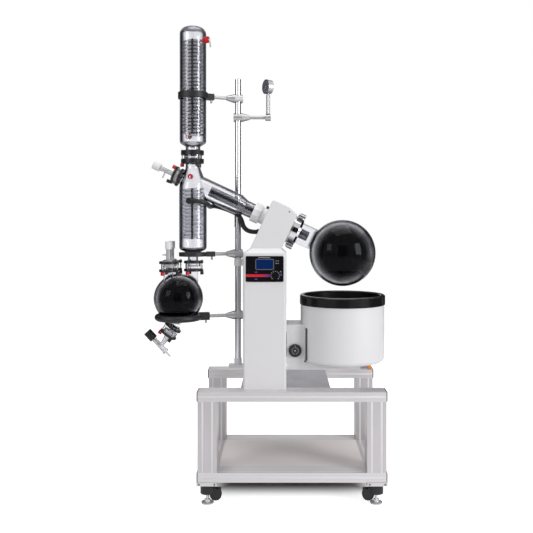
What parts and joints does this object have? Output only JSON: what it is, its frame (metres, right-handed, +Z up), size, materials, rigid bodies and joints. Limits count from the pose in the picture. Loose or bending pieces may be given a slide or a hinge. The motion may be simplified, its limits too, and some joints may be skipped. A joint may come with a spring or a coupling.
{
  "type": "rotary evaporator",
  "caption": "Floor-standing rotary evaporator: profile frame, column with tilted drive, turning glass flask over a lifting bath, upright condensers and receiver.",
  "frame": {"origin": "middle of the whole footprint, on the floor", "axes": "+Z up, +X towards the bath and turning flask, -Y towards the person at the control panel"},
  "size_m": [1.0406, 0.5675, 2.017],
  "materials": {
    "profile": "brushed clear anodised",
    "black_cap": "moulded, fine grain",
    "grey_panel": "satin sheet",
    "cast_plate": "machined",
    "caster_black": "moulded",
    "caster_wheel": "moulded tread",
    "foot_chrome": "plated with black rubber edge",
    "base_steel": "polished sheet",
    "white_paint": "smooth powder coat",
    "panel_black": "printed film",
    "screen_blue": "lit screen",
    "knob_silver": "turned",
    "steel": "turned",
    "chrome": "polished",
    "glass": "clear borosilicate",
    "coil_glass": "clear borosilicate",
    "white_plastic": "machined",
    "black_plastic": "moulded",
    "black_rubber": "smooth",
    "red_plastic": "moulded",
    "pot_steel": "dark non-stick coat",
    "heater": "cast",
    "bronze": "turned",
    "orange_plastic": "moulded",
    "rim_black": "moulded"
  },
  "bodies": {
    "base": {"top_rails": "profile", "bottom_rails": "profile", "legs": "profile", "rail_end_caps": "black_cap", "shelf_panel": "grey_panel", "caster_plates": "cast_plate", "base_plate": "base_steel", "column": "white_paint", "guide_rods": "steel", "drive_housing": "white_paint", "shaft_bearings": "steel", "seal_housing": "white_plastic", "hose_fittings": "black_plastic", "lower_condenser": "glass", "lower_coil": "coil_glass", "upper_condenser": "glass", "upper_coil": "coil_glass", "receiving_flask": "glass", "flange_clamps": "black_plastic", "red_caps": "red_plastic", "vent_and_feed_valves": "white_plastic", "drain_valve": "white_plastic", "stand_rod": "chrome", "rod_brackets": "white_paint", "rod_clamps": "chrome", "ring_clamps": "black_rubber", "vacuum_gauge": "chrome", "vacuum_hose": "black_rubber", "control_panel": "panel_black", "display": "screen_blue"},
    "lift": {"lift_carriage": "white_paint", "bath_shell": "white_paint", "bath_pot": "pot_steel", "bath_heater": "heater", "bath_rim": "rim_black", "bath_control_box": "white_paint", "bath_drain": "steel"},
    "rotor": {"drive_sleeve": "steel", "vapor_tube": "glass", "flask_clamp": "chrome", "evaporating_flask": "glass"},
    "panel_knob": {"control_knob": "knob_silver"},
    "dial": {"temperature_dial": "black_plastic"},
    "tap_knob": {"drain_tap_knob": "orange_plastic"},
    "front_vent_knob": {"vent_knob_front": "white_plastic"},
    "rear_vent_knob": {"vent_knob_rear": "white_plastic"},
    "feed_valve_knob": {"feed_knob": "white_plastic"},
    "drain_valve_knob": {"drain_knob": "black_plastic"},
    "swivel_1": {"caster_body_1": "caster_black"},
    "wheel_1": {"caster_wheel_1": "caster_wheel"},
    "foot_1": {"caster_foot_1": "foot_chrome"},
    "swivel_2": {"caster_body_2": "caster_black"},
    "wheel_2": {"caster_wheel_2": "caster_wheel"},
    "foot_2": {"caster_foot_2": "foot_chrome"},
    "swivel_3": {"caster_body_3": "caster_black"},
    "wheel_3": {"caster_wheel_3": "caster_wheel"},
    "foot_3": {"caster_foot_3": "foot_chrome"},
    "swivel_4": {"caster_body_4": "caster_black"},
    "wheel_4": {"caster_wheel_4": "caster_wheel"},
    "foot_4": {"caster_foot_4": "foot_chrome"}
  },
  "joints": [
    {"name": "bath_lift", "type": "slide", "parent": "base", "child": "lift", "axis": [0, 0, 1], "range_m": [0, 0.15]},
    {"name": "flask_turn", "type": "hinge", "parent": "base", "child": "rotor", "pos_m": [0.3345, -0.1, 1.04], "axis": [0.9063, 0, -0.4226], "continuous": true},
    {"name": "panel_knob_turn", "type": "hinge", "parent": "base", "child": "panel_knob", "pos_m": [0.045, -0.195, 0.949], "axis": [0, -1, 0], "range_deg": [-150, 150]},
    {"name": "temperature_turn", "type": "hinge", "parent": "lift", "child": "dial", "pos_m": [0.129, -0.17, 0.631], "axis": [0, -1, 0], "range_deg": [-135, 135]},
    {"name": "bath_tap_turn", "type": "hinge", "parent": "lift", "child": "tap_knob", "pos_m": [0.4345, 0.01, 0.522], "axis": [1, 0, 0], "range_deg": [0, 90]},
    {"name": "front_vent_turn", "type": "hinge", "parent": "base", "child": "front_vent_knob", "pos_m": [-0.41011, -0.14792, 1.06], "axis": [0, 0, 1], "range_deg": [0, 540]},
    {"name": "rear_vent_turn", "type": "hinge", "parent": "base", "child": "rear_vent_knob", "pos_m": [-0.41011, -0.05208, 1.06], "axis": [0, 0, 1], "range_deg": [0, 540]},
    {"name": "feed_valve_turn", "type": "hinge", "parent": "base", "child": "feed_valve_knob", "pos_m": [-0.45308, -0.1, 1.40725], "axis": [-0.9063, 0, 0.4226], "range_deg": [0, 540]},
    {"name": "drain_valve_turn", "type": "hinge", "parent": "base", "child": "drain_valve_knob", "pos_m": [-0.4799, -0.1, 0.66783], "axis": [-0.682, 0, 0.7314], "range_deg": [0, 540]},
    {"name": "swivel_turn_1", "type": "hinge", "parent": "base", "child": "swivel_1", "pos_m": [-0.237, -0.202, 0.084], "axis": [0, 0, 1], "continuous": true},
    {"name": "wheel_turn_1", "type": "hinge", "parent": "swivel_1", "child": "wheel_1", "pos_m": [-0.203, -0.202, 0.037], "axis": [0, 1, 0], "continuous": true},
    {"name": "foot_screw_1", "type": "slide", "parent": "swivel_1", "child": "foot_1", "axis": [0, 0, -1], "range_m": [0, 0.008]},
    {"name": "swivel_turn_2", "type": "hinge", "parent": "base", "child": "swivel_2", "pos_m": [-0.237, 0.242, 0.084], "axis": [0, 0, 1], "continuous": true},
    {"name": "wheel_turn_2", "type": "hinge", "parent": "swivel_2", "child": "wheel_2", "pos_m": [-0.203, 0.242, 0.037], "axis": [0, 1, 0], "continuous": true},
    {"name": "foot_screw_2", "type": "slide", "parent": "swivel_2", "child": "foot_2", "axis": [0, 0, -1], "range_m": [0, 0.008]},
    {"name": "swivel_turn_3", "type": "hinge", "parent": "base", "child": "swivel_3", "pos_m": [0.467, -0.202, 0.084], "axis": [0, 0, 1], "continuous": true},
    {"name": "wheel_turn_3", "type": "hinge", "parent": "swivel_3", "child": "wheel_3", "pos_m": [0.433, -0.202, 0.037], "axis": [0, 1, 0], "continuous": true},
    {"name": "foot_screw_3", "type": "slide", "parent": "swivel_3", "child": "foot_3", "axis": [0, 0, -1], "range_m": [0, 0.008]},
    {"name": "swivel_turn_4", "type": "hinge", "parent": "base", "child": "swivel_4", "pos_m": [0.467, 0.242, 0.084], "axis": [0, 0, 1], "continuous": true},
    {"name": "wheel_turn_4", "type": "hinge", "parent": "swivel_4", "child": "wheel_4", "pos_m": [0.433, 0.242, 0.037], "axis": [0, 1, 0], "continuous": true},
    {"name": "foot_screw_4", "type": "slide", "parent": "swivel_4", "child": "foot_4", "axis": [0, 0, -1], "range_m": [0, 0.008]}
  ]
}
